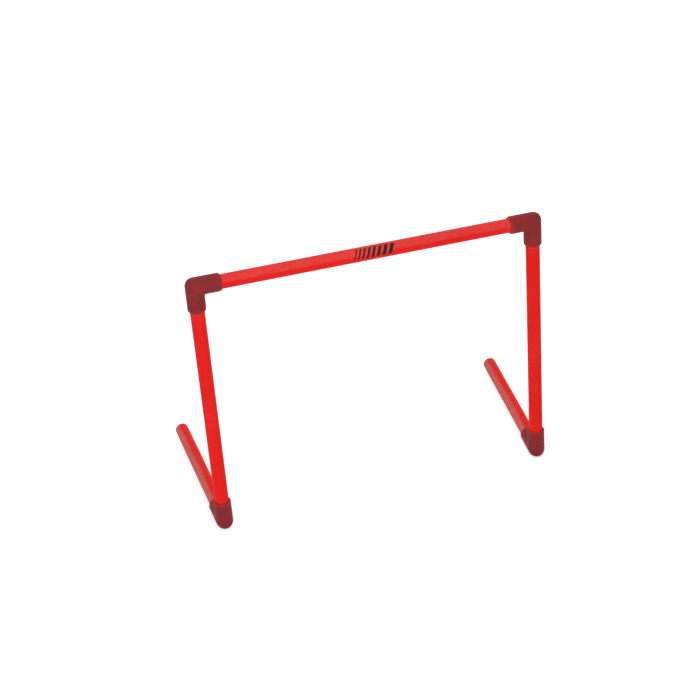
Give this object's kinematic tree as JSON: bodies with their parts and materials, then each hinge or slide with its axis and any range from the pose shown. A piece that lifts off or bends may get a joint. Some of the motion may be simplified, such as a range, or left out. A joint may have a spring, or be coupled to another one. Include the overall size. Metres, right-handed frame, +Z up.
{
  "type": "speed hurdle",
  "caption": "Gate-shaped training hurdle of round plastic tube: a crossbar on uprights with long feet behind, joined by moulded push-fit elbows that turn.",
  "frame": {"origin": "on the floor, under the middle of the crossbar, midway between the uprights", "axes": "+X along the crossbar to the right seen from the front, +Y back along the feet, +Z up"},
  "size_m": [0.6722, 0.3561, 0.4917],
  "materials": {
    "tube": "bright red extruded tube, satin gloss",
    "elbow": "dark red moulding, fine matte"
  },
  "bodies": {
    "crossbar": {"crossbar_tube": "tube"},
    "left_leg": {"left_top_elbow": "elbow", "left_upright_tube": "tube"},
    "right_leg": {"right_top_elbow": "elbow", "right_upright_tube": "tube"},
    "left_foot": {"left_foot_elbow": "elbow", "left_foot_tube": "tube"},
    "right_foot": {"right_foot_elbow": "elbow", "right_foot_tube": "tube"}
  },
  "joints": [
    {"name": "left_leg_swing", "type": "hinge", "parent": "crossbar", "child": "left_leg", "pos_m": [-0.3, 0, 0.47585], "axis": [1, 0, 0], "continuous": true},
    {"name": "left_foot_swivel", "type": "hinge", "parent": "left_leg", "child": "left_foot", "pos_m": [-0.3, 0, 0.01585], "axis": [0, 0, 1], "continuous": true},
    {"name": "right_leg_swing", "type": "hinge", "parent": "crossbar", "child": "right_leg", "pos_m": [0.3, 0, 0.47585], "axis": [1, 0, 0], "continuous": true},
    {"name": "right_foot_swivel", "type": "hinge", "parent": "right_leg", "child": "right_foot", "pos_m": [0.3, 0, 0.01585], "axis": [0, 0, 1], "continuous": true}
  ]
}
